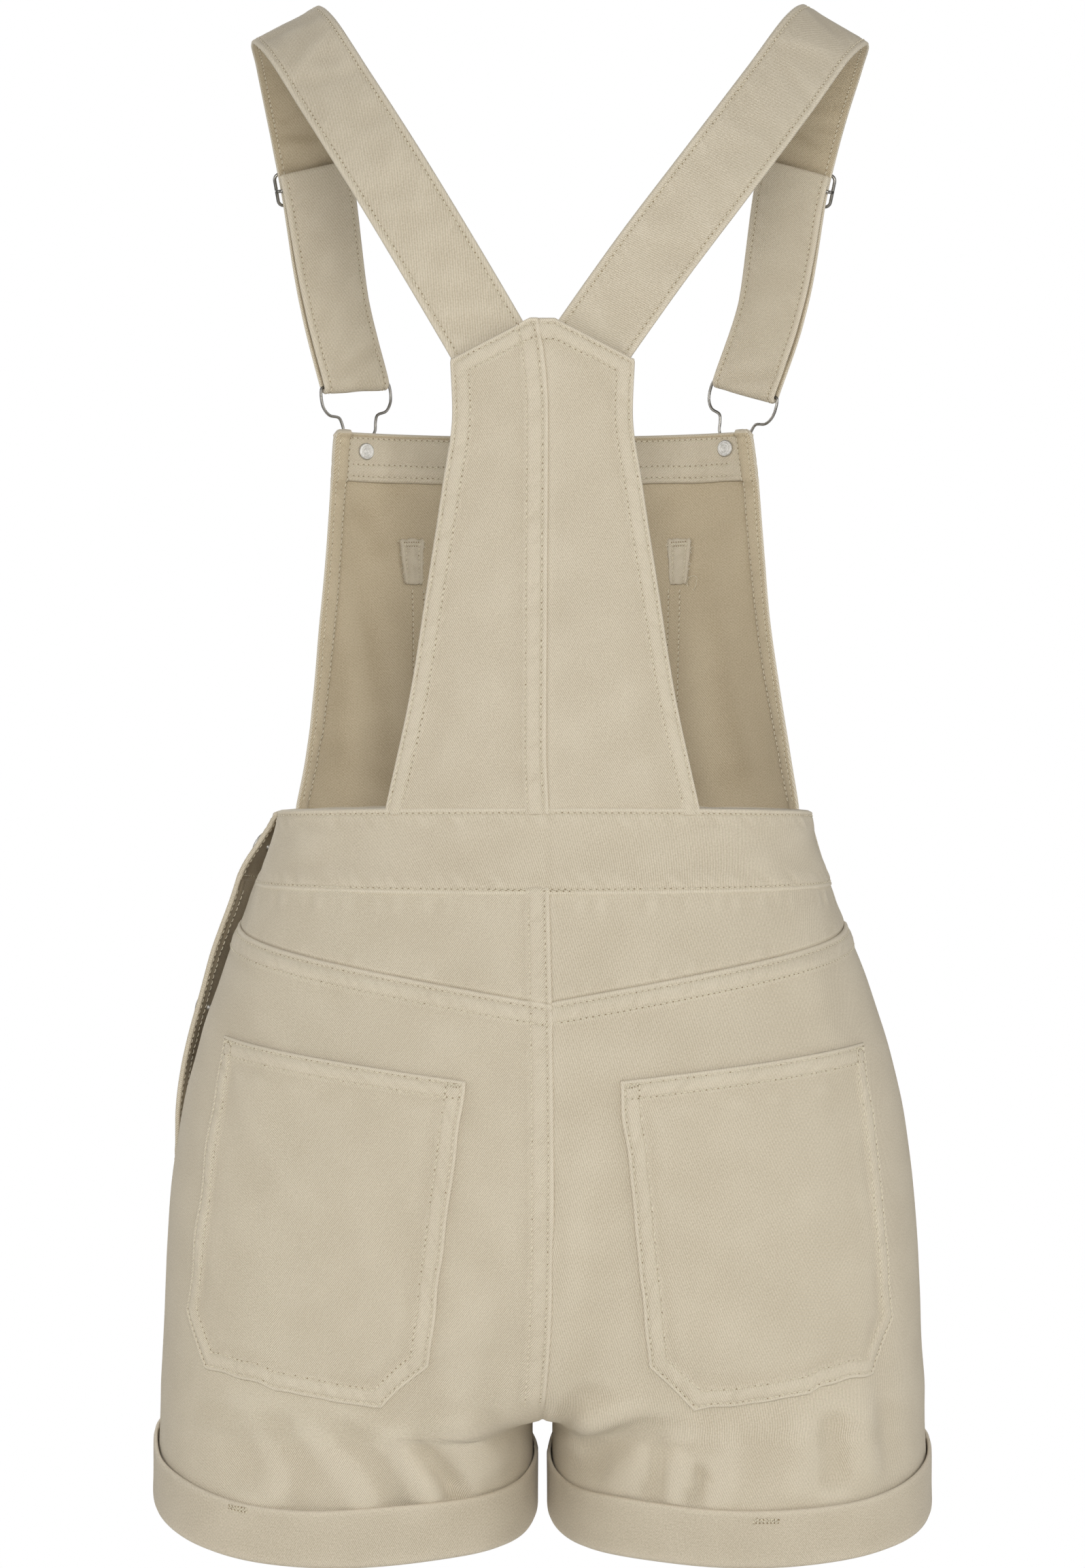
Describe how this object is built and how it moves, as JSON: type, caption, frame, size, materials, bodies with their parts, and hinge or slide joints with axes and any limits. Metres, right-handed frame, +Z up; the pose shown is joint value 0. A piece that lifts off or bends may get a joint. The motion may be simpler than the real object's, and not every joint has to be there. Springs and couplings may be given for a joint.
{
  "type": "shortalls",
  "caption": "Short dungarees in beige cotton twill, in their worn form with no wearer: bib, Y back, hooked straps, back pockets and turn-ups.",
  "frame": {"origin": "in the middle between the two straps, at the height of the shoulders that carry them", "axes": "+Z up, -Y towards the wearer's front, +Y towards the back, +X towards the wearer's left"},
  "size_m": [0.3996, 0.2369, 0.7841],
  "materials": {
    "cotton_twill": "matt woven cotton twill with a little stretch",
    "gunmetal_wire": "dark nickel-plated steel wire",
    "button_metal": "stamped and lightly polished"
  },
  "bodies": {
    "root": {"back_panel_left": "cotton_twill", "back_panel_right": "cotton_twill", "bib": "cotton_twill", "bib_facing": "cotton_twill", "bib_pocket": "cotton_twill", "pocket_patch_left": "cotton_twill", "pocket_patch_right": "cotton_twill", "back_waistband": "cotton_twill", "front_waistband": "cotton_twill", "yoke_left": "cotton_twill", "yoke_right": "cotton_twill", "back_leg_left": "cotton_twill", "back_leg_right": "cotton_twill", "front_leg_left": "cotton_twill", "front_leg_right": "cotton_twill", "back_pocket_left": "cotton_twill", "back_pocket_right": "cotton_twill", "cuff_left": "cotton_twill", "cuff_right": "cotton_twill", "strap_left": "cotton_twill", "strap_right": "cotton_twill", "slider_left": "gunmetal_wire", "slider_right": "gunmetal_wire", "hook_left": "gunmetal_wire", "hook_right": "gunmetal_wire", "bib_button_left": "button_metal", "bib_button_right": "button_metal", "side_button_waist": "button_metal", "side_button_placket": "button_metal"}
  },
  "joints": []
}
